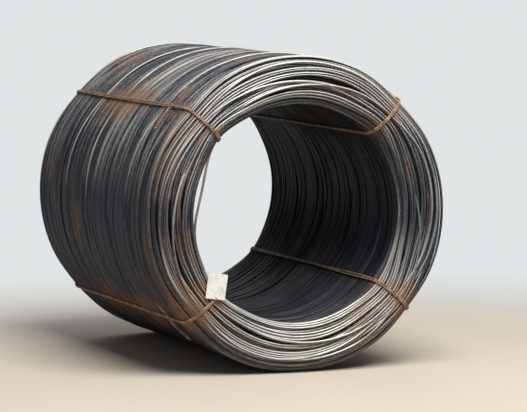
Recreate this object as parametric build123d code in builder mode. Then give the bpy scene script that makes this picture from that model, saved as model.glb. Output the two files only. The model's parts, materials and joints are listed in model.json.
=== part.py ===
from build123d import *
import os
from math import acos, cos, pi, radians, sin

# Coil of hot-rolled wire rod, lying on its barrel with its axis along Y.
# Millimetres. The front end faces -Y, +Z is up, and the origin is on the floor under the middle.

# Coil
coil_outside_d = 1250
coil_inside_d = 860
coil_length = 1500
rod_d = 10
end_flat = 75  # width of the flat ring on each end, inside the rounded edges that loose turns give it
groove_share = 0.35  # depth of the groove between two turns, as a share of the rod
rope_width = 96  # the turns lie together in thick ropes, which show as broad ribs on the barrel
rope_groove_width = 34
rope_groove_depth = 10

# Ties, with their angles in degrees from +X towards +Z
upper_right_angle = 45
upper_left_angle = 137
lower_left_angle = 221
lower_right_angle = 320
tie_wire_d = 7
tie_flat = 25  # straight stretch of a tie over each end, between its bends
tie_proud = 1.3  # height by which a tie stands out of the turns
knot_d = 13  # two wires twisted together
knot_length = 120
knot_rope = 2  # the knot lies on this rope of turns, counted from the front

# Tag, upright in the mouth of the eye, with its hole beside the lower left tie
tag_width = 80
tag_height = 100
tag_thickness = 1.5
tag_corner = 5
tag_turn = -8  # degrees
tag_reach = 45  # from the bore's wall to the tag's hole, along the tie
tag_hole_margin = 9  # from the hole's middle to the tag's lower edge
tag_wire_d = 2
tag_wire_bend = 2.5

# Clearances
seat_gap = 0.3
side_gap = 0.5

bore_r = coil_inside_d / 2
barrel_r = coil_outside_d / 2
ring_middle_r = (bore_r + barrel_r) / 2
ring_thickness = barrel_r - bore_r
half_length = coil_length / 2

# The end's outline: a flat ring with a rounded edge towards the bore and towards the barrel.
end_round = (ring_thickness - end_flat) / 2
corner_run = end_round * pi / 2
end_run = 2 * corner_run + end_flat
turns_on_end = round(end_run / rod_d)
turn_pitch = end_run / turns_on_end
groove_depth = groove_share * rod_d
half_straight = half_length - end_round
ropes_on_side = round(2 * half_straight / rope_width)
rope_pitch = 2 * half_straight / ropes_on_side


def end_point(run, depth):
    """Point of the back end's outline, run along it from the bore and moved in by depth."""
    bend_r = end_round - depth
    if run < corner_run:
        bend = run / end_round
        return (bore_r + end_round - bend_r * cos(bend), half_length - end_round + bend_r * sin(bend))
    if run > corner_run + end_flat:
        bend = (end_run - run) / end_round
        return (barrel_r - end_round + bend_r * cos(bend), half_length - end_round + bend_r * sin(bend))
    return (bore_r + end_round + run - corner_run, half_length - depth)


# Each tie lies in a plane through the coil's axis: local x is the radius, local y is along the axis,
# and local z runs round the coil.
tie_angles = {
    "tie_upper_right": upper_right_angle,
    "tie_upper_left": upper_left_angle,
    "tie_lower_left": lower_left_angle,
    "tie_lower_right": lower_right_angle,
}
tie_r = tie_wire_d / 2
tie_depth = tie_r - tie_proud  # how deep the middle of the tie's wire lies
tie_round = (ring_thickness - tie_flat) / 2
tie_bend = tie_round - tie_depth
slot_depth = tie_depth + tie_r + seat_gap
slot_width = tie_wire_d + 2 * side_gap
knot_r = knot_d / 2
knot_y = (knot_rope - 0.5) * rope_pitch - half_straight


def tie_plane(angle):
    """Plane of the tie at this angle, with its origin on the coil's axis."""
    outward = (cos(radians(angle)), 0, sin(radians(angle)))
    return Plane(origin=(0, 0, barrel_r), x_dir=outward, z_dir=(-outward[2], 0, outward[0]))


# The tag's wire is a flat ring through the tag's hole and round the tie, where the tie turns into the bore.
tag_tie = tie_plane(lower_left_angle)
tag_wire_r = tag_wire_d / 2
hole_r = bore_r + tag_reach
tie_slope = acos((bore_r + tie_round - hole_r) / tie_bend)
tie_y = -half_length + tie_round - tie_bend * sin(tie_slope)
tag_front_y = -half_length - seat_gap - tag_thickness
ring_front_y = tag_front_y - side_gap - tag_wire_bend
ring_back_y = tie_y + (tie_r + tag_wire_r + seat_gap) / sin(tie_slope)
ring_length = ring_back_y - ring_front_y
ring_left = -tie_r - tag_wire_r - side_gap
edge_lean = radians(lower_left_angle - 180 - tag_turn)  # of the ring, to square across the tag's edge
ring_right = ring_left + (tag_hole_margin + tag_wire_r + side_gap) / cos(edge_lean)
ring_width = ring_right - ring_left
ring_middle = ((ring_left + ring_right) / 2, 0)
ring_plane = Plane(
    origin=tag_tie.from_local_coords((hole_r, (ring_front_y + ring_back_y) / 2, 0)),
    x_dir=tag_tie.z_dir,
    z_dir=tag_tie.x_dir,
)


# The coil: a turned solid with a plain bore, broad ropes of turns along the barrel and half-round
# turns over each end, with a slot for each tie and a pocket for the tag's wire between the turns.
with BuildPart() as rod_coil:
    with BuildSketch(Plane.XY.offset(barrel_r)):
        with BuildLine():
            for turn in range(turns_on_end):
                start = turn * turn_pitch
                ThreePointArc(
                    end_point(start, groove_depth),
                    end_point(start + turn_pitch / 2, 0),
                    end_point(start + turn_pitch, groove_depth),
                )
            Polyline(end_point(0, groove_depth), end_point(0, 0), (bore_r, 0))
            Line(end_point(end_run, groove_depth), end_point(end_run, 0))
            mirror(about=Plane.XZ)
            rope_start = -half_straight
            for rope in range(1, ropes_on_side):
                groove_middle = rope * rope_pitch - half_straight
                rope_end = groove_middle - rope_groove_width / 2
                next_start = groove_middle + rope_groove_width / 2
                Line((barrel_r, rope_start), (barrel_r, rope_end))
                ThreePointArc(
                    (barrel_r, rope_end),
                    (barrel_r - rope_groove_depth, groove_middle),
                    (barrel_r, next_start),
                )
                rope_start = next_start
            Line((barrel_r, rope_start), (barrel_r, half_straight))
        make_face()
    revolve(axis=Axis((0, 0, barrel_r), (0, 1, 0)))
    with BuildPart(mode=Mode.SUBTRACT):
        for angle in tie_angles.values():
            with BuildSketch(tie_plane(angle).offset(-slot_width / 2)):
                with Locations((ring_middle_r, 0)):
                    Rectangle(ring_middle_r, 2 * coil_length)
                    RectangleRounded(
                        ring_thickness - 2 * slot_depth,
                        coil_length - 2 * slot_depth,
                        tie_round - slot_depth,
                        mode=Mode.SUBTRACT,
                    )
            extrude(amount=slot_width)
    with BuildSketch(ring_plane):
        with Locations(ring_middle):
            Rectangle(ring_width + tag_wire_d + 2 * side_gap, ring_length + tag_wire_d + 2 * side_gap)
    extrude(amount=tag_wire_r + side_gap, both=True, mode=Mode.SUBTRACT)
rod_coil.part.label = "rod_coil"

os.makedirs("parts", exist_ok=True)
export_step(rod_coil.part, "parts/rod_coil.step")


# Ties: a closed loop round the section, with its twisted ends laid round the barrel.
for name, angle in tie_angles.items():
    with BuildPart() as tie:
        with BuildLine(tie_plane(angle)) as loop:
            near = bore_r + tie_depth
            far = barrel_r - tie_depth
            end = half_length - tie_depth
            FilletPolyline((near, -end), (near, end), (far, end), (far, -end), radius=tie_bend, close=True)
        with BuildSketch(Plane(loop.line @ 0, z_dir=loop.line % 0)):
            Circle(tie_r)
        sweep()
        knot_start = tie_plane(angle).from_local_coords(
            (barrel_r + seat_gap + knot_r, knot_y, -knot_r)
        )
        with BuildSketch(Plane(knot_start, z_dir=tie_plane(angle).z_dir)):
            Circle(knot_r)
        extrude(amount=knot_length)
    tie.part.label = name
    export_step(tie.part, f"parts/{name}.step")


# Tag: a plain plate with one hole at its lower edge.
with BuildPart() as tag:
    tag_origin = tag_tie.from_local_coords((hole_r, tag_front_y, ring_left))
    tag_across = (cos(radians(tag_turn)), 0, sin(radians(tag_turn)))
    with BuildSketch(Plane(tag_origin, x_dir=tag_across, z_dir=(0, -1, 0))):
        with Locations((0, tag_height / 2 - tag_hole_margin)):
            RectangleRounded(tag_width, tag_height, tag_corner)
        Circle(tag_wire_r + side_gap, mode=Mode.SUBTRACT)
    extrude(amount=-tag_thickness)
tag.part.label = "tag"
export_step(tag.part, "parts/tag.step")


# Tag wire
with BuildPart() as tag_wire:
    with BuildLine(ring_plane) as loop:
        low = -ring_length / 2
        high = ring_length / 2
        FilletPolyline(
            (ring_left, low),
            (ring_left, high),
            (ring_right, high),
            (ring_right, low),
            radius=tag_wire_bend,
            close=True,
        )
    with BuildSketch(Plane(loop.line @ 0, z_dir=loop.line % 0)):
        Circle(tag_wire_r)
    sweep()
tag_wire.part.label = "tag_wire"
export_step(tag_wire.part, "parts/tag_wire.step")
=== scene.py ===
import json
import math

import bmesh
import bpy
import numpy as np
from mathutils import Matrix, Vector


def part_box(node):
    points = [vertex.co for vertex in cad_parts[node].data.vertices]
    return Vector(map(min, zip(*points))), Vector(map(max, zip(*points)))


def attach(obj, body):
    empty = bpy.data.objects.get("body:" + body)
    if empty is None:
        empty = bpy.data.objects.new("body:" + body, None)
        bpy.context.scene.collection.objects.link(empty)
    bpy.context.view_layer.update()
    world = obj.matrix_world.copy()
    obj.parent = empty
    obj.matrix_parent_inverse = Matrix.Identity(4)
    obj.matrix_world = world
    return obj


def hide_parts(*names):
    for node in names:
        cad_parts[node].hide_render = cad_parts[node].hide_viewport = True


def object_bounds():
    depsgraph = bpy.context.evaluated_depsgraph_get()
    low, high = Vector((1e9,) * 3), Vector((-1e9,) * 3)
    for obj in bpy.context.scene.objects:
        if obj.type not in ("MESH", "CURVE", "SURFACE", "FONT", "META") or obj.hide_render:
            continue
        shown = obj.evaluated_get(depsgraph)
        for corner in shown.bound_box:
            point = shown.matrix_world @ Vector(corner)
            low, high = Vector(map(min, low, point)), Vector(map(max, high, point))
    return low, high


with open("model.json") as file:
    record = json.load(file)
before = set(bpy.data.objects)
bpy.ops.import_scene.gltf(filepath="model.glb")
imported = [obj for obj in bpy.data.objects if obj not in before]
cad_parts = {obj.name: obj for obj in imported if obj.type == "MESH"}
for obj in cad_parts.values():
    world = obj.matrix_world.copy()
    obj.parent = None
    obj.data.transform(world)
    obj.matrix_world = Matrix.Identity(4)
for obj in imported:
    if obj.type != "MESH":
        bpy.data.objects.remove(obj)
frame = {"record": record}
cad_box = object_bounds()


# Camera. A long lens, well back, stands to the left of the coil's axis and a little above its middle,
# so that the near end, the left of the barrel and the right wall of the eye are all in view.
VIEW_AZIMUTH = math.radians(-21)
VIEW_ELEVATION = math.radians(5)
VIEW_DISTANCE = 13.2
VIEW_WIDTH = 2.12
VIEW_AHEAD = 0.33  # from the coil's middle towards its front end, where the camera looks
SENSOR_WIDTH = 36
CLIP_END = 100

low, high = (Vector(corner) for corner in cad_box)
coil_r = (high.x - low.x) / 2
coil_middle = Vector((0, 0, coil_r))
view_target = coil_middle - Vector((0, VIEW_AHEAD, 0))
view_back = Vector((
    math.sin(VIEW_AZIMUTH) * math.cos(VIEW_ELEVATION),
    -math.cos(VIEW_AZIMUTH) * math.cos(VIEW_ELEVATION),
    math.sin(VIEW_ELEVATION),
))
camera_data = bpy.data.cameras.new("camera")
camera_data.sensor_width = SENSOR_WIDTH
camera_data.lens = SENSOR_WIDTH * VIEW_DISTANCE / VIEW_WIDTH
camera_data.clip_end = CLIP_END
camera = bpy.data.objects.new("camera", camera_data)
camera.location = view_target + view_back * VIEW_DISTANCE
camera.rotation_euler = (-view_back).to_track_quat("-Z", "Y").to_euler()
bpy.context.collection.objects.link(camera)
bpy.context.scene.camera = camera
bpy.context.scene.view_settings.view_transform = "Standard"


# Floor. A plain beige floor fades all round into a pale distance, which the camera and reflections
# see at its own colour. It keeps the coil's shadow.
FLOOR_SIZE = 60
FLOOR_COLOUR = (0.68, 0.60, 0.485, 1)
WALL_COLOUR = (0.75, 0.78, 0.79, 1)
FADE_MIDDLE = (0, -0.7, 0)
FADE_START = 1.3
FADE_END = 3.9


def new_material(name):
    """A material, its node tree and its shader."""
    material = bpy.data.materials.new(name)
    material.use_nodes = True
    return material, material.node_tree, material.node_tree.nodes["Principled BSDF"]


def add_range(tree, value, source, target=(0, 1), smooth=False):
    """A value taken from one range to another and kept within it."""
    taken = tree.nodes.new("ShaderNodeMapRange")
    taken.interpolation_type = "SMOOTHSTEP" if smooth else "LINEAR"
    taken.inputs["From Min"].default_value = source[0]
    taken.inputs["From Max"].default_value = source[1]
    taken.inputs["To Min"].default_value = target[0]
    taken.inputs["To Max"].default_value = target[1]
    tree.links.new(value, taken.inputs["Value"])
    return taken.outputs["Result"]


def add_math(tree, operation, *terms):
    """Values worked together. A term that is a plain number is set on its own socket."""
    worked = tree.nodes.new("ShaderNodeMath")
    worked.operation = operation
    for socket, term in zip(worked.inputs, terms):
        if isinstance(term, bpy.types.NodeSocket):
            tree.links.new(term, socket)
        else:
            socket.default_value = term
    return worked.outputs["Value"]


floor_mesh = bpy.data.meshes.new("floor")
shape = bmesh.new()
bmesh.ops.create_grid(shape, x_segments=1, y_segments=1, size=FLOOR_SIZE)
shape.to_mesh(floor_mesh)
shape.free()
floor = bpy.data.objects.new("floor", floor_mesh)
bpy.context.collection.objects.link(floor)

floor_material, tree, surface = new_material("pale_floor")
surface.inputs["Base Color"].default_value = FLOOR_COLOUR
surface.inputs["Roughness"].default_value = 0.9
wall = tree.nodes.new("ShaderNodeEmission")
wall.inputs["Color"].default_value = WALL_COLOUR
floor_place = tree.nodes.new("ShaderNodeTexCoord")
away = tree.nodes.new("ShaderNodeVectorMath")
away.operation = "DISTANCE"
away.inputs[1].default_value = FADE_MIDDLE
tree.links.new(floor_place.outputs["Object"], away.inputs[0])
fade = add_range(tree, away.outputs["Value"], (FADE_START, FADE_END), smooth=True)
ray = tree.nodes.new("ShaderNodeLightPath")
seen = add_math(tree, "MAXIMUM", ray.outputs["Is Camera Ray"], ray.outputs["Is Glossy Ray"])
faded = tree.nodes.new("ShaderNodeMixShader")
tree.links.new(add_math(tree, "MULTIPLY", fade, seen), faded.inputs["Fac"])
tree.links.new(surface.outputs["BSDF"], faded.inputs[1])
tree.links.new(wall.outputs["Emission"], faded.inputs[2])
tree.links.new(faded.outputs["Shader"], tree.nodes["Material Output"].inputs["Surface"])
floor_mesh.materials.append(floor_material)


# Light. A weak even sky, one wide lamp high in front, and weaker ones from the left and from behind.
# Together they show a colour about as it is written.
SKY_COLOUR = (0.80, 0.85, 0.92, 1)
SKY_STRENGTH = 0.13

world = bpy.data.worlds.new("even_sky")
bpy.context.scene.world = world
world.use_nodes = True
sky = world.node_tree.nodes["Background"]
sky.inputs["Color"].default_value = SKY_COLOUR
sky.inputs["Strength"].default_value = SKY_STRENGTH


def add_lamp(name, place, size, power):
    """A square lamp that faces the coil."""
    lamp = bpy.data.lights.new(name, "AREA")
    lamp.shape = "SQUARE"
    lamp.size = size
    lamp.energy = power
    item = bpy.data.objects.new(name, lamp)
    item.location = place
    item.rotation_euler = (Vector(place) - coil_middle).to_track_quat("Z", "Y").to_euler()
    bpy.context.collection.objects.link(item)


add_lamp("lamp_above", place=(0.2, -3.6, 6.0), size=4.5, power=575)
add_lamp("lamp_left", place=(-6.0, -4.5, 2.6), size=3.0, power=8)
add_lamp("lamp_behind", place=(1.5, 6.5, 4.5), size=5.0, power=130)


# Rod coil. One hot-rolled rod with blue-grey mill scale, rust streaks and pale dust, laid in about a
# thousand turns that lie loose on each other. Few of them touch for long: they run in strands of a few
# turns that wander across the ends, with dark gaps between them. Four ties draw them together. The pale
# dust on the tops of the turns is partly a painted highlight, and the colours also carry painted shade,
# deepest in the lower skins and inside the eye.
ROD_D = 0.010
TIGHT_PITCH = 0.0103  # of turns that touch
SKIN_STEP = 0.013  # from one skin of turns down to the next
END_ROUND = 0.060
ENDS = ("front", "back")

TIE_ANGLES = [math.radians(angle) for angle in (45, 137, 221, 320)]
PINCH_SPREAD = math.radians(14)  # how far a tie's pull reaches
PINCH = 0.6  # share of the gaps on an end that a tie closes
TIE_SINK = 0.0058  # how deep a tie draws the turns in
TIED_END_ROUND = 0.085
TIED_CALM = 0.8  # share of the wandering that a tie stops
TIED_ROPES = 0.5  # share of the grooves between ropes that a tie closes

# On the barrel and in the eye the turns lie in thick ropes, whose grooves shift round the coil.
ROPE_WIDTH = 0.096
ROPE_GROOVE_WIDTH = 0.034
ROPE_GROOVE_DEPTH = 0.010
ROPE_SHIFTS = (0.12, 0.08, 0.05)  # as shares of a rope's width
ROPE_PHASE = {"barrel": 1.7, "eye": 4.2}
ROPE_SHARE = {"barrel": 1, "eye": 0.55}
GROOVE_PHASE = 2.1

SWAY = (0.0007, 0.0005, 0.0004)  # of each turn on its own
STRAND_DRIFT = 0.7
STRAND_DIP = 0.0012
STRAND_DIP_PHASE = 6
END_LAY = {
    "wander": (0.014, 0.010, 0.006, 0.003), "drift": 9, "calm": 3, "stray_room": 0.008,
    "tone": -0.10, "strand_tone": 0.7, "rod_tone": 0.45, "stray_tone": 0.6,
}
# The barrel and the eye are far darker in tone than the ends: partly fresher scale, partly painted shade.
SIDE_LAY = {
    "wander": (0.007, 0.006, 0.004, 0.003), "drift": 4, "calm": 24, "stray_room": 0.004,
    "tone": -0.95, "strand_tone": 0.3, "rod_tone": 0.3, "stray_tone": 0,
}
LOW_END_PAINTED_LIGHT = 0.4  # painted light: the bottom of an end is made paler, as the bright floor would light it
# painted shade: the left and right flanks of an end are darker
FLANK_PAINTED_SHADE = -0.2

SKIN_SHADE = 0.27  # painted shade, more with each skin down
LOW_SKIN_LIGHT = 0.9  # share of that painted shade that is left off at the bottom
EYE_SHADE_REACH = 0.15
EYE_FLOOR_SHADE_REACH = 0.28
PALE_ROD_LIGHT = 0.25  # share of the eye's shade that the palest rods escape

STRAY_SWAY = (0.004, 0.004, 0.002)
STRAY_SUNK = 0.0003  # keeps the stray turns within the coil's own size
STRAY_PINCH = 0.3
DIVE = math.radians(50)  # stretch over which a stray turn's end goes down
DIVE_DEPTH = 0.030
START_SLACK = 0.01  # keeps the first vertices of a stray turn from being read as its last
SEED = 11

DARK_SCALE = (0.034, 0.041, 0.057, 1)
BLUE_SCALE = (0.097, 0.106, 0.124, 1)
PALE_SCALE = (0.40, 0.405, 0.40, 1)
RUST = (0.26, 0.135, 0.070, 1)
# pale dust on the upward faces of the turns, partly real dust and partly a painted highlight
DUST_AND_HIGHLIGHT = (0.79, 0.76, 0.68, 1)
# painted shade, laid by the shade attribute on the deeper skins and deep in the eye
DEEP_SHADE = (0.055, 0.068, 0.130, 1)
TONE_CONTRAST = 0.34  # how much the rods differ from each other
TIE_STAIN = 0.18  # rust that a tie leaves on the turns under it
STREAKS_APART = 90  # sets the streaks of one turn well away from those of the next

chance = np.random.RandomState(SEED)
eye_r = frame["record"]["mounts"][0]["dims"]["r_mm"] / 1000
rod_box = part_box("rod_coil")
half_length = (rod_box[1][1] - rod_box[0][1]) / 2
middle_r = (coil_r + eye_r) / 2
half_ring = (coil_r - eye_r) / 2
straight_run = 2 * (half_length - END_ROUND)
rope_pitch = straight_run / round(straight_run / ROPE_WIDTH)


def add_attribute(tree, name, output="Fac"):
    """A value that the vertices carry."""
    carried = tree.nodes.new("ShaderNodeAttribute")
    carried.attribute_name = name
    return carried.outputs[output]


def add_noise(tree, place, scale, detail, roughness=0.5, seed=None):
    """Noise at this place. A seed gives other blotches of the same kind."""
    noise = tree.nodes.new("ShaderNodeTexNoise")
    if seed is not None:
        noise.noise_dimensions = "4D"
        noise.inputs["W"].default_value = seed
    noise.inputs["Scale"].default_value = scale
    noise.inputs["Detail"].default_value = detail
    noise.inputs["Roughness"].default_value = roughness
    tree.links.new(place, noise.inputs["Vector"])
    return noise.outputs["Fac"]


def add_ramp(tree, value, *stops):
    """Colours along a value, each at its place."""
    ramp = tree.nodes.new("ShaderNodeValToRGB")
    elements = ramp.color_ramp.elements
    for element, (place, colour) in zip(elements, (stops[0], stops[-1])):
        element.position = place
        element.color = colour
    for place, colour in stops[1:-1]:
        elements.new(place).color = colour
    tree.links.new(value, ramp.inputs["Fac"])
    return ramp.outputs["Color"]


def add_coat(tree, share, under, colour, blend="MIX"):
    """A colour laid over another, as thick as this share."""
    coat = tree.nodes.new("ShaderNodeMix")
    coat.data_type = "RGBA"
    coat.blend_type = blend
    coat.inputs[7].default_value = colour
    tree.links.new(share, coat.inputs["Factor"])
    tree.links.new(under, coat.inputs[6])
    return coat.outputs[2]


def add_bump(tree, shader, height, strength, distance):
    """A fine relief on a shader."""
    bump = tree.nodes.new("ShaderNodeBump")
    bump.inputs["Strength"].default_value = strength
    bump.inputs["Distance"].default_value = distance
    tree.links.new(height, bump.inputs["Height"])
    tree.links.new(bump.outputs["Normal"], shader.inputs["Normal"])


rod_material, tree, steel = new_material("mill_scale_rod")
coil_place = tree.nodes.new("ShaderNodeTexCoord")
along_rod = add_attribute(tree, "along_rod", "Vector")
streak = add_noise(tree, along_rod, scale=2.4, detail=6, roughness=0.62)
lightness = add_math(tree, "MULTIPLY_ADD", add_attribute(tree, "tone"), TONE_CONTRAST, streak)
flakes = add_noise(tree, coil_place.outputs["Object"], scale=120, detail=5, roughness=0.6)
flake_shift = add_range(tree, flakes, (0.3, 0.7), (-0.09, 0.09))
mottled = add_math(tree, "ADD", lightness, flake_shift)
scale_colour = add_ramp(tree, mottled, (0.45, DARK_SCALE), (0.68, BLUE_SCALE), (0.95, PALE_SCALE))

patches = add_noise(tree, coil_place.outputs["Object"], scale=3.1, detail=4, seed=4)
rust_streak = add_noise(tree, along_rod, scale=5.3, detail=5)
rust_sum = add_math(tree, "ADD", patches, rust_streak)
stained = add_math(tree, "MULTIPLY_ADD", add_attribute(tree, "tied"), TIE_STAIN, rust_sum)
flaked = add_math(tree, "ADD", stained, flake_shift)
rust_share = add_range(tree, flaked, (1.07, 1.30), (0, 0.8))
rusted = add_coat(tree, rust_share, scale_colour, RUST)

upward = tree.nodes.new("ShaderNodeSeparateXYZ")
tree.links.new(coil_place.outputs["Normal"], upward.inputs["Vector"])
# Pale coat on faces that point up: partly real dust, partly a painted highlight where light from above
# falls.
upward_dust_and_highlight = add_range(tree, upward.outputs["Z"], (0.05, 0.40), (0, 0.95))
dust_and_highlight_rods = add_range(tree, mottled, (0.14, 0.62))
dust_and_highlight_streak = add_math(tree, "MULTIPLY", upward_dust_and_highlight, dust_and_highlight_rods)
clear_of_rust = add_range(tree, rust_share, (0, 1), (1, 0.25))
dust_and_highlight_left = add_math(tree, "MULTIPLY", dust_and_highlight_streak, clear_of_rust)
dusty_and_highlit = add_coat(tree, dust_and_highlight_left, rusted, DUST_AND_HIGHLIGHT)
# Painted shade: the shade attribute darkens the deeper skins and the turns deep in the eye.
shaded = add_coat(tree, add_attribute(tree, "shade"), dusty_and_highlit, DEEP_SHADE, "MULTIPLY")
tree.links.new(shaded, steel.inputs["Base Color"])

tree.links.new(add_range(tree, rust_share, (0, 1), (0.35, 0.05)), steel.inputs["Metallic"])
tree.links.new(add_range(tree, rust_share, (0, 1), (0.52, 0.85)), steel.inputs["Roughness"])
steel.inputs["Specular IOR Level"].default_value = 0.25
scale_grain = add_noise(tree, coil_place.outputs["Object"], scale=420, detail=3)
add_bump(tree, steel, scale_grain, strength=0.25, distance=0.0006)


def spun_ring(steps, sides, wire_d, ring_r, sweep=math.tau):
    """A ring of wire round the Y axis, with cut ends where the sweep is less than a full turn."""
    whole = sweep == math.tau
    ring = bmesh.new()
    bmesh.ops.create_circle(
        ring, segments=sides, radius=wire_d / 2, cap_ends=not whole,
        matrix=Matrix.Translation((ring_r, 0, 0)),
    )
    bmesh.ops.spin(
        ring, geom=ring.verts[:] + ring.edges[:] + ring.faces[:], cent=(0, 0, 0), axis=(0, -1, 0),
        angle=sweep, steps=steps, use_merge=whole,
    )
    bmesh.ops.recalc_face_normals(ring, faces=ring.faces[:])
    for face in ring.faces:
        face.smooth = len(face.verts) == 4
    mesh = bpy.data.meshes.new("ring")
    ring.to_mesh(mesh)
    ring.free()
    return mesh


def read_places(mesh):
    """Where the vertices are: all their x, all their y and all their z."""
    places = np.empty(len(mesh.vertices) * 3)
    mesh.vertices.foreach_get("co", places)
    return places.reshape(-1, 3).T


def read_ring(mesh, ring_r):
    """Angle round the Y axis, height off the ring's middle line and place across it, for each vertex."""
    x, y, z = read_places(mesh)
    return np.arctan2(z, x), np.hypot(x, z) - ring_r, y


def stand_round_coil(mesh, radius, axial, angle, around=0):
    """Place vertices by radius, along the axis, at this angle, and this much further round the coil."""
    turned = angle + around / radius
    placed = (radius * np.cos(turned), axial, radius * np.sin(turned) + coil_r)
    mesh.vertices.foreach_set("co", np.stack(placed, -1).ravel())


def add_piece(name, mesh, material, node):
    """An object that takes the place of a node of the frame."""
    mesh.materials.append(material)
    mesh.update()
    piece = bpy.data.objects.new(name, mesh)
    bpy.context.collection.objects.link(piece)
    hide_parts(node)
    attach(piece, "root")


def near_tie(angle):
    """1 at a tie and 0 well away from it."""
    off_tie = [np.abs((angle - tie + math.pi) % math.tau - math.pi) for tie in TIE_ANGLES]
    return np.exp(-(np.min(off_tie, axis=0) / PINCH_SPREAD) ** 2)


def low_down(angle):
    """1 at the bottom of the coil, and 0 from its middle up."""
    return np.maximum(-np.sin(angle), 0)


def waves(angle, amplitudes, drift=0, first=1):
    """A random smooth wave round the coil, whose phases also shift with the drift of each turn."""
    total = 0
    for order, amplitude in enumerate(amplitudes, first):
        phase = chance.uniform(0, math.tau)
        total = total + amplitude * np.cos(order * angle + phase + drift * chance.choice((-1, 1)))
    return total


def follow_outline(run, near, far, corner):
    """A point on a rounded block: run along one side from its middle, and on round the corners."""
    flat = near - corner
    length = np.abs(run)
    turn = np.clip((length - flat) / corner, 0, math.pi / 2)
    past = np.maximum(length - flat - corner * math.pi / 2, 0)
    along = np.sign(run) * (np.minimum(length, flat) + corner * np.sin(turn))
    return along, far - corner * (1 - np.cos(turn)) - past


def lay_strands(length, turns, gap):
    """Strands of touching turns with gaps between them: each turn's place, and the strand it is in."""
    places = []
    strands = []
    at = 0
    strand = 0
    while at < length:
        for _ in range(chance.randint(turns[0], turns[1] + 1)):
            places.append(at)
            strands.append(strand)
            at += TIGHT_PITCH
        at += chance.uniform(*gap)
        strand += 1
    kept = [place <= length for place in places]
    places = np.array(places)[kept]
    return places - (places[0] + places[-1]) / 2, np.array(strands)[kept]


def rope_relief(run, angle, side):
    """Depth of the groove between two ropes of turns, on the barrel or in the eye."""
    phase = ROPE_PHASE[side]
    once, twice, thrice = ROPE_SHIFTS
    shift = once * np.sin(angle + phase) + twice * np.sin(2 * angle - phase)
    shift = shift + thrice * np.sin(3 * angle + 2 * phase)
    across = (run + straight_run / 2) / rope_pitch + shift
    groove = np.round(across)
    uneven = 0.5 + 0.5 * np.sin(angle * (1 + groove % 3) + GROOVE_PHASE * groove + phase)
    depth = ROPE_GROOVE_DEPTH * (ROPE_SHARE[side] * uneven)
    from_middle = np.abs(across - groove) * rope_pitch / (ROPE_GROOVE_WIDTH / 2)
    return depth * np.maximum(1 - from_middle ** 2, 0)


def eye_shade(angle, axial, tone):
    """Shade of the turns in the eye: darker deep inside, and less so on pale rods."""
    reach = EYE_SHADE_REACH + (EYE_FLOOR_SHADE_REACH - EYE_SHADE_REACH) * low_down(angle) ** 4
    deep = np.clip((half_length - np.abs(axial)) / reach, 0, 1)
    return deep * (1 - PALE_ROD_LIGHT * np.clip(tone - SIDE_LAY["tone"], 0, 1))


def lay_turns(name, ring, side, run, sunk, phase, tone, shade):
    """Copies of a ring laid at these runs and depths on one side of the section, one for each row."""
    shape = bmesh.new()
    for _ in range(len(run)):
        shape.from_mesh(ring)
    mesh = bpy.data.meshes.new(name)
    shape.to_mesh(mesh)
    shape.free()
    angle, out, across = read_ring(ring, middle_r)
    corner = np.maximum(END_ROUND + (TIED_END_ROUND - END_ROUND) * near_tie(angle) - sunk, ROD_D / 2)
    if side in ENDS:
        along, far = follow_outline(run, half_ring - sunk, half_length - sunk, corner)
        radius = middle_r + along + out
        axial = far if side == "back" else -far
    else:
        axial, far = follow_outline(run, half_length - sunk, half_ring - sunk, corner)
        radius = middle_r + (far if side == "barrel" else -far) + out
    if side == "eye":
        shade = np.maximum(shade, eye_shade(angle, axial, tone))
    stand_round_coil(mesh, radius, axial + across, angle)
    rod_run = np.broadcast_arrays(
        middle_r * np.cos(angle), middle_r * np.sin(angle), phase * STREAKS_APART,
    )
    carried_run = mesh.attributes.new("along_rod", "FLOAT_VECTOR", "POINT")
    carried_run.data.foreach_set("vector", np.stack(rod_run, -1).ravel())
    for attribute, values in (("tone", tone), ("shade", shade), ("tied", near_tie(angle) ** 4)):
        carried = mesh.attributes.new(attribute, "FLOAT", "POINT")
        carried.data.foreach_set("value", (values + np.zeros_like(radius)).ravel())
    add_piece(name, mesh, rod_material, "rod_coil")


def add_turns(name, ring, side, skin, laid):
    """Turns side by side on one end, on the barrel or in the eye, in the outer skin or a deeper one."""
    lay = END_LAY if side in ENDS else SIDE_LAY
    places, strands = laid
    rows = len(places)
    place = places[:, None]
    angle, _, _ = read_ring(ring, middle_r)
    tied = near_tie(angle)
    strand_phase = chance.uniform(-1, 1, strands.max() + 1)[strands][:, None]
    row_phase = chance.uniform(0, math.tau, (rows, 1))
    calm = 1 - (np.abs(place) / np.abs(place).max()) ** lay["calm"]
    swing = waves(angle, lay["wander"], place * lay["drift"] + STRAND_DRIFT * strand_phase)
    sway = waves(angle, SWAY, row_phase, first=3)
    run = place + (1 - TIED_CALM * tied) * (calm * swing + sway)
    dip = STRAND_DIP * (1 + np.cos(2 * angle + STRAND_DIP_PHASE * strand_phase)) * (1 - tied)
    sunk = TIE_SINK * tied + skin * SKIN_STEP + ROD_D / 2 + dip
    level = lay["tone"]
    if side in ENDS:
        drawn = (np.arange(rows)[:, None] - (rows - 1) / 2) * TIGHT_PITCH
        run = run + PINCH * tied * (drawn - place)
        sunk = sunk + lay["stray_room"] * (1 - tied) * calm
        # Painted light at the bottom of an end, and painted shade on its left and right flanks.
        level = level + LOW_END_PAINTED_LIGHT * low_down(angle) ** 2 + FLANK_PAINTED_SHADE * np.cos(angle) ** 2
    else:
        sunk = sunk + (1 - TIED_ROPES * tied) * rope_relief(run, angle, side)
        sunk = sunk + lay["stray_room"] * (1 - tied)
    mixed = chance.uniform(-1, 1, (rows, 1))
    tone = level + lay["strand_tone"] * strand_phase + lay["rod_tone"] * mixed
    shade = SKIN_SHADE * skin * (1 - LOW_SKIN_LIGHT * low_down(angle))
    lay_turns(name, ring, side, run, sunk, row_phase, tone, shade)


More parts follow.
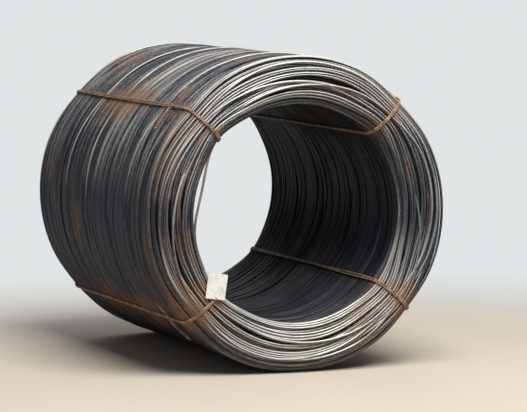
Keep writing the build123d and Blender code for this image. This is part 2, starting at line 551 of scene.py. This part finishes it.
def add_stray_turn(name, side, middle, lean, start, sweep, dives):
    """One turn that leans across the others. Its ends dive below them, or lie on top, cut off."""
    ring = spun_ring(steps=110, sides=8, wire_d=ROD_D, ring_r=middle_r, sweep=sweep)
    ring.transform(Matrix.Rotation(-start, 4, "Y"))
    angle, _, _ = read_ring(ring, middle_r)
    tied = near_tie(angle)
    went = (angle - start + START_SLACK) % math.tau - START_SLACK
    run = middle + lean * np.cos(angle - start - sweep / 2) + waves(angle, STRAY_SWAY, first=2)
    dive_in = dives[0] * np.clip(1 - went / DIVE, 0, 1) ** 2
    dive_out = dives[1] * np.clip(1 - (sweep - went) / DIVE, 0, 1) ** 2
    sunk = ROD_D / 2 + STRAY_SUNK + TIE_SINK * tied + DIVE_DEPTH * (dive_in + dive_out)
    run = run - STRAY_PINCH * tied * (run - middle)
    tone = (END_LAY if side in ENDS else SIDE_LAY)["stray_tone"]
    lay_turns(name, ring, side, run[None], sunk[None], np.full((1, 1), start), tone, 0)


end_ring = spun_ring(steps=108, sides=6, wire_d=ROD_D, ring_r=middle_r)
side_ring = spun_ring(steps=80, sides=6, wire_d=ROD_D, ring_r=middle_r)
deep_ring = spun_ring(steps=60, sides=4, wire_d=ROD_D, ring_r=middle_r)

# The skins from the outside in: name, ring, how many turns a strand has, and how wide a gap is.
end_skins = (
    ("turns", end_ring, (2, 4), (0.010, 0.026)),
    ("second_turns", end_ring, (2, 5), (0.008, 0.020)),
    ("third_turns", end_ring, (3, 6), (0.003, 0.008)),
    ("fourth_turns", deep_ring, (6, 9), (0.002, 0.004)),
)
side_skins = (
    ("turns", side_ring, (2, 6), (0.002, 0.011)),
    ("second_turns", side_ring, (4, 8), (0.002, 0.006)),
    ("third_turns", deep_ring, (6, 9), (0.001, 0.003)),
)
for side in ENDS:
    end_run = 2 * (half_ring - END_ROUND) + math.pi * (END_ROUND - ROD_D / 2)
    for skin, (label, ring, turns, gap) in enumerate(end_skins):
        add_turns(f"{side}_{label}", ring, side, skin, lay_strands(end_run, turns, gap))
        end_run -= math.pi * SKIN_STEP
for side in ("barrel", "eye"):
    for skin, (label, ring, turns, gap) in enumerate(side_skins):
        add_turns(f"{side}_{label}", ring, side, skin, lay_strands(straight_run, turns, gap))

# The stray turns: side, middle, lean, the angle where one starts, the angle it sweeps, and whether its
# first and its last end dive.
stray_turns = (
    ("front", 0.012, 0.050, 1.35, 4.6, (0, 1)),
    ("front", -0.020, 0.046, 3.9, 4.9, (1, 1)),
    ("front", 0.030, 0.040, 5.4, 3.9, (1, 1)),
    ("front", -0.008, 0.058, 2.4, 4.2, (1, 1)),
    ("back", 0.010, 0.052, 0.4, 4.7, (1, 0)),
    ("back", -0.018, 0.050, 2.9, 4.5, (1, 1)),
    ("back", 0.026, 0.040, 4.9, 4.1, (1, 1)),
    ("barrel", -0.610, 0.055, 1.9, 4.4, (1, 1)),
    ("barrel", -0.470, 0.040, 0.3, 4.9, (1, 1)),
    ("barrel", -0.230, 0.070, 2.6, 4.0, (1, 1)),
    ("barrel", 0.060, 0.045, 5.6, 4.6, (1, 1)),
    ("barrel", 0.290, 0.060, 1.1, 4.3, (1, 1)),
    ("barrel", 0.540, 0.050, 3.4, 4.8, (1, 1)),
)
for number, stray in enumerate(stray_turns, 1):
    add_stray_turn(f"stray_turn_{number}", *stray)


# Loose turn. One slack turn near the front hangs away from the eye's left wall, from the upper left tie
# to the lower left, as a nearly straight stretch.
LOOSE_Y = 0.052  # from the front end
LOOSE_ANGLE = math.radians(167)
LOOSE_SPREAD = math.radians(29)
LOOSE_SAG = 0.026
LOOSE_PHASE = 2.0
LOOSE_TONE = 0.8

angle, _, _ = read_ring(end_ring, middle_r)
off_middle = np.clip(np.abs((angle - LOOSE_ANGLE + math.pi) % math.tau - math.pi) / LOOSE_SPREAD, 0, 1)
sag = LOOSE_SAG * np.cos(off_middle * math.pi / 2) ** 2
loose_run = np.full((1, len(angle)), LOOSE_Y - half_length)
loose_sunk = (ROD_D / 2 + TIE_SINK * near_tie(angle) - sag)[None]
loose_phase = np.full((1, 1), LOOSE_PHASE)
lay_turns("loose_turn", end_ring, "eye", loose_run, loose_sunk, loose_phase, LOOSE_TONE, 0)


# Ties. Four soft steel wires, rusted brown, each wound twice round the section through the eye. The two
# ends are twisted together by pliers and laid down round the barrel, and one tail is left over.
TIE_D = 0.007
TIE_WINDS = (-0.0004, 0.0067)  # places of the two winds, round the coil from the tie's angle
TIE_PROUD = 0.0013  # how far a tie stands out of the turns
TIE_STEPS = 300
TIE_SWAY = (0.0010, 0.0008, 0.0006, 0.0005)
KNOT_R = 0.0033  # from the middle of the knot to the middle of each wire
KNOT_WIRE_D = 0.0062
KNOT_LENGTH = 0.120
KNOT_TURNS = 4.5
KNOT_STEPS = 54
KNOT_ROPE = 2  # the knot lies on this rope of turns, counted from the front
TAIL_LENGTH = 0.095
TAIL_LIFT = 0.010
TAIL_CUTS = 6
DARK_RUST = (0.16, 0.092, 0.060, 1)
DRY_RUST = (0.50, 0.335, 0.215, 1)

tie_material, tree, rusty = new_material("rusty_tie_wire")
tie_place = tree.nodes.new("ShaderNodeTexCoord")
rust_blotches = add_noise(tree, tie_place.outputs["Object"], scale=46, detail=6)
rust_colour = add_ramp(tree, rust_blotches, (0.34, DARK_RUST), (0.68, DRY_RUST))
tree.links.new(rust_colour, rusty.inputs["Base Color"])
rusty.inputs["Metallic"].default_value = 0.1
rusty.inputs["Roughness"].default_value = 0.8
add_bump(tree, rusty, rust_blotches, strength=0.4, distance=0.0006)


def round_block(share, wide, long, corner):
    """Points along a rounded rectangle's outline, at these shares of its length, and the way out there."""
    quarter = math.pi / 2 * corner
    sides = (2 * (long - corner), 2 * (wide - corner)) * 2
    run = share * (sum(sides) + 4 * quarter)
    x = np.full_like(run, wide - corner)
    y = np.full_like(run, corner - long)
    turn = np.zeros_like(run)
    for number, side in enumerate(sides):
        went = np.clip(run, 0, side)
        x += went * math.cos((number + 1) * math.pi / 2)
        y += went * math.sin((number + 1) * math.pi / 2)
        turn += np.clip((run - side) / corner, 0, math.pi / 2)
        run = run - side - quarter
    return x + corner * np.cos(turn), y + corner * np.sin(turn), np.cos(turn), np.sin(turn)


def twisted_knot(name):
    """Two wires twisted together along Z, and the straight tail that is left over along -Y."""
    knot = bmesh.new()
    pitch_angle = math.atan2(KNOT_LENGTH, math.tau * KNOT_R * KNOT_TURNS)
    for half in (0, math.pi):
        begin = Matrix.Rotation(half, 4, "Y") @ Matrix.Translation((KNOT_R, 0, 0))
        wire = bmesh.ops.create_circle(
            knot, segments=8, radius=KNOT_WIRE_D / 2, cap_ends=True,
            matrix=begin @ Matrix.Rotation(-pitch_angle, 4, "X"),
        )
        faces = {face for vert in wire["verts"] for face in vert.link_faces}
        edges = {edge for face in faces for edge in face.edges}
        bmesh.ops.spin(
            knot, geom=[*wire["verts"], *edges, *faces], cent=(0, 0, 0), axis=(0, -1, 0),
            dvec=(0, KNOT_LENGTH / KNOT_STEPS, 0), angle=math.tau * KNOT_TURNS, steps=KNOT_STEPS,
        )
    bmesh.ops.recalc_face_normals(knot, faces=knot.faces[:])
    tail_place = Matrix.Translation((-KNOT_R, -TAIL_LENGTH / 2, 0))
    tail = bmesh.ops.create_cone(
        knot, segments=8, radius1=KNOT_WIRE_D / 2, radius2=KNOT_WIRE_D / 2, depth=TAIL_LENGTH,
        cap_ends=True, matrix=tail_place @ Matrix.Rotation(math.pi / 2, 4, "X"),
    )["verts"]
    long_edges = [
        edge for edge in knot.edges if edge.verts[0] in tail and edge.calc_length() > TAIL_LENGTH / 2
    ]
    bmesh.ops.subdivide_edges(knot, edges=long_edges, cuts=TAIL_CUTS)
    for face in knot.faces:
        face.smooth = len(face.verts) == 4
    mesh = bpy.data.meshes.new(name)
    knot.to_mesh(mesh)
    knot.free()
    return mesh


knot_y = (KNOT_ROPE - 0.5) * rope_pitch - straight_run / 2
tie_depth = TIE_D / 2 - TIE_PROUD
tie_names = ("tie_upper_right", "tie_upper_left", "tie_lower_left", "tie_lower_right")
for name, tie_angle in zip(tie_names, TIE_ANGLES):
    whole = bmesh.new()
    for wind in TIE_WINDS:
        loop = spun_ring(steps=TIE_STEPS, sides=8, wire_d=TIE_D, ring_r=1)
        turn, out, across = read_ring(loop, 1)
        x, y, way_x, way_y = round_block(
            (turn % math.tau) / math.tau,
            half_ring - tie_depth, half_length - tie_depth, TIED_END_ROUND - tie_depth,
        )
        around = wind + across + waves(turn, TIE_SWAY, first=2)
        stand_round_coil(loop, middle_r + x + out * way_x, y + out * way_y, tie_angle, around)
        whole.from_mesh(loop)
    mesh = twisted_knot(name)
    x, y, z = read_places(mesh)
    tail_lift = TAIL_LIFT * np.clip(-y / TAIL_LENGTH, 0, 1) ** 2
    stand_round_coil(mesh, coil_r + KNOT_R + KNOT_WIRE_D / 2 + x + tail_lift, knot_y + z, tie_angle, y)
    whole.from_mesh(mesh)
    # Standing the loops and the knot round the coil has turned them inside out.
    bmesh.ops.recalc_face_normals(whole, faces=whole.faces[:])
    whole.to_mesh(mesh)
    whole.free()
    add_piece(f"{name}_wire", mesh, tie_material, name)


# Tag. A blank plate of white plastic, cut with round corners and slightly bent, stands on its wired
# lower edge against the turns beside the lower left tie.
TAG_WIDTH = 0.080
TAG_HEIGHT = 0.100
TAG_THICKNESS = 0.0015
TAG_CORNER = 0.005
TAG_HOLE_R = 0.0016
TAG_HOLE_MARGIN = 0.009  # from the hole's middle to the lower edge
TAG_HOLE_REACH = 0.045  # from the eye's wall to the hole
TAG_HOLE_AROUND = -0.005  # round the coil from the tie to the hole
TAG_TURN = math.radians(-8)
TAG_BOW = 0.0022
TAG_CUT = 0.008  # between the cuts across and up the plate that let it bend
SMUDGE = (0.66, 0.64, 0.58, 1)
TAG_WHITE = (0.88, 0.88, 0.86, 1)

tag_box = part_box("tag")
tag_tie = TIE_ANGLES[2]
hole_r = eye_r + TAG_HOLE_REACH
hole = Vector((
    hole_r * math.cos(tag_tie) - TAG_HOLE_AROUND * math.sin(tag_tie),
    tag_box[1][1],
    hole_r * math.sin(tag_tie) + TAG_HOLE_AROUND * math.cos(tag_tie) + coil_r,
))

plate = bmesh.new()
bmesh.ops.create_grid(plate, x_segments=1, y_segments=1, size=0.5)
bmesh.ops.scale(plate, vec=(TAG_WIDTH, TAG_HEIGHT, 1), verts=plate.verts[:])
bmesh.ops.translate(plate, vec=(0, TAG_HEIGHT / 2 - TAG_HOLE_MARGIN, 0), verts=plate.verts[:])
bmesh.ops.bevel(
    plate, geom=plate.verts[:], offset=TAG_CORNER, segments=5, profile=0.5, affect="VERTICES", material=-1,
)
bmesh.ops.delete(plate, geom=plate.faces[:], context="FACES_ONLY")
bmesh.ops.create_circle(plate, segments=16, radius=TAG_HOLE_R)
bmesh.ops.triangle_fill(plate, edges=plate.edges[:], use_beauty=True)
half_cuts = round(TAG_WIDTH / 2 / TAG_CUT)
cuts_up = int((TAG_HEIGHT - TAG_HOLE_MARGIN) / TAG_CUT)
cuts = [((number * TAG_CUT, 0, 0), (1, 0, 0)) for number in range(1 - half_cuts, half_cuts)]
cuts += [((0, number * TAG_CUT, 0), (0, 1, 0)) for number in range(cuts_up)]
for cut_place, cut_way in cuts:
    everything = plate.verts[:] + plate.edges[:] + plate.faces[:]
    bmesh.ops.bisect_plane(plate, geom=everything, plane_co=cut_place, plane_no=cut_way)
bmesh.ops.recalc_face_normals(plate, faces=plate.faces[:])
bmesh.ops.solidify(plate, geom=plate.faces[:], thickness=TAG_THICKNESS)
plate_back = min(vert.co.z for vert in plate.verts)
for vert in plate.verts:
    across, up, thick = vert.co
    bow = TAG_BOW * ((across / TAG_WIDTH * 2) ** 2 + (up / TAG_HEIGHT) ** 3) / 2
    vert.co = (across, up, thick - plate_back + bow)
turned_plate = Matrix.Translation(hole) @ Matrix.Rotation(-TAG_TURN, 4, "Y")
upright_plate = turned_plate @ Matrix.Rotation(math.pi / 2, 4, "X")
bmesh.ops.transform(plate, matrix=upright_plate, verts=plate.verts[:])
bmesh.ops.recalc_face_normals(plate, faces=plate.faces[:])
mesh = bpy.data.meshes.new("tag_plate")
plate.to_mesh(mesh)
plate.free()

tag_material, tree, plastic = new_material("white_tag")
tag_place = tree.nodes.new("ShaderNodeTexCoord")
smudges = add_noise(tree, tag_place.outputs["Object"], scale=40, detail=5)
tag_colour = add_ramp(tree, smudges, (0.28, SMUDGE), (0.50, TAG_WHITE))
tree.links.new(tag_colour, plastic.inputs["Base Color"])
plastic.inputs["Roughness"].default_value = 0.42
add_piece("tag_plate", mesh, tag_material, "tag")


# Tag wire. A thin bright steel wire, bent by hand into a flat ring, goes through the tag's hole and
# round the tie behind it, and holds the tag in the mouth of the eye.
TAG_WIRE_D = 0.002
TAG_WIRE_BEND = 0.0025
TAG_WIRE_SPAN = 0.016
TARNISHED = (0.26, 0.24, 0.21, 1)
BRIGHT = (0.52, 0.51, 0.49, 1)

wire_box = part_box("tag_wire")
wire_front = wire_box[0][1] + TAG_WIRE_D / 2
wire_back = wire_box[1][1] - TAG_WIRE_D / 2
loop = spun_ring(steps=96, sides=8, wire_d=TAG_WIRE_D, ring_r=1)
turn, out, across = read_ring(loop, 1)
x, y, way_x, way_y = round_block(
    (turn % math.tau) / math.tau, TAG_WIRE_SPAN / 2, (wire_back - wire_front) / 2, TAG_WIRE_BEND,
)
around = TAG_HOLE_AROUND + TAG_WIRE_SPAN / 2 + x + out * way_x
stand_round_coil(loop, hole_r + across, (wire_front + wire_back) / 2 + y + out * way_y, tag_tie, around)

bright_wire, tree, thin_steel = new_material("tag_wire")
wire_place = tree.nodes.new("ShaderNodeTexCoord")
tarnish = add_noise(tree, wire_place.outputs["Object"], scale=260, detail=4)
wire_colour = add_ramp(tree, tarnish, (0.36, TARNISHED), (0.60, BRIGHT))
tree.links.new(wire_colour, thin_steel.inputs["Base Color"])
thin_steel.inputs["Metallic"].default_value = 0.8
thin_steel.inputs["Roughness"].default_value = 0.38
add_piece("tag_wire_ring", loop, bright_wire, "tag_wire")
